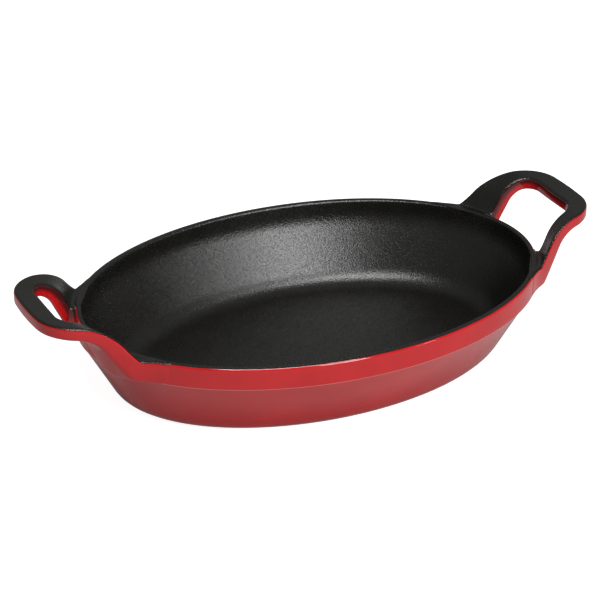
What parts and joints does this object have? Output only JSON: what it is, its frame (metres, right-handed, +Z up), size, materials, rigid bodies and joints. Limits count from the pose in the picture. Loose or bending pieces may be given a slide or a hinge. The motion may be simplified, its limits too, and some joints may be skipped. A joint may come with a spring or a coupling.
{
  "type": "gratin dish",
  "caption": "Oval enamelled cast-iron gratin dish with raised loop handles, black inside and red outside.",
  "frame": {"origin": "on the table, at the middle of the foot ring", "axes": "+Z up, +X along the dish through both handles, +Y across it"},
  "size_m": [0.3454, 0.196, 0.0736],
  "materials": {
    "bare_iron": "ground flat at the foot ring, covered by enamel elsewhere",
    "black_enamel": "matte black enamel with a fine grain",
    "red_enamel": "glossy cherry-red enamel"
  },
  "bodies": {
    "root": {"iron_casting": "bare_iron", "black_enamel_lining": "black_enamel", "red_enamel_coat": "red_enamel", "foot_recess_enamel": "red_enamel"}
  },
  "joints": []
}
